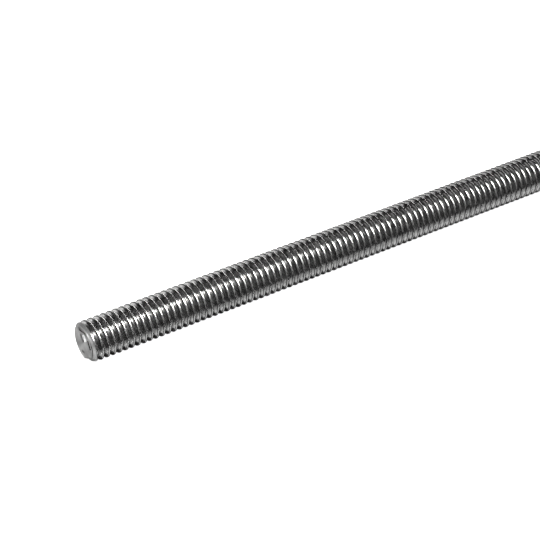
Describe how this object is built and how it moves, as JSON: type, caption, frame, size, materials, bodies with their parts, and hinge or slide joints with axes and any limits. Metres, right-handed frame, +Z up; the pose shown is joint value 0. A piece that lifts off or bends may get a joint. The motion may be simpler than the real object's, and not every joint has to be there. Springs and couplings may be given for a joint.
{
  "type": "stud bolt",
  "caption": "Straight steel stud bolt with a coarse metric thread along its whole length and a small chamfer at each end.",
  "frame": {"origin": "centre of the near end face, on the rod's axis", "axes": "+X along the rod from the near end face to the far one, +Z up with the rod lying level, +Y across it"},
  "size_m": [0.11, 0.0078, 0.0078],
  "materials": {
    "steel": "plain bright rolled steel, slightly mottled"
  },
  "bodies": {
    "root": {"stud": "steel"}
  },
  "joints": []
}
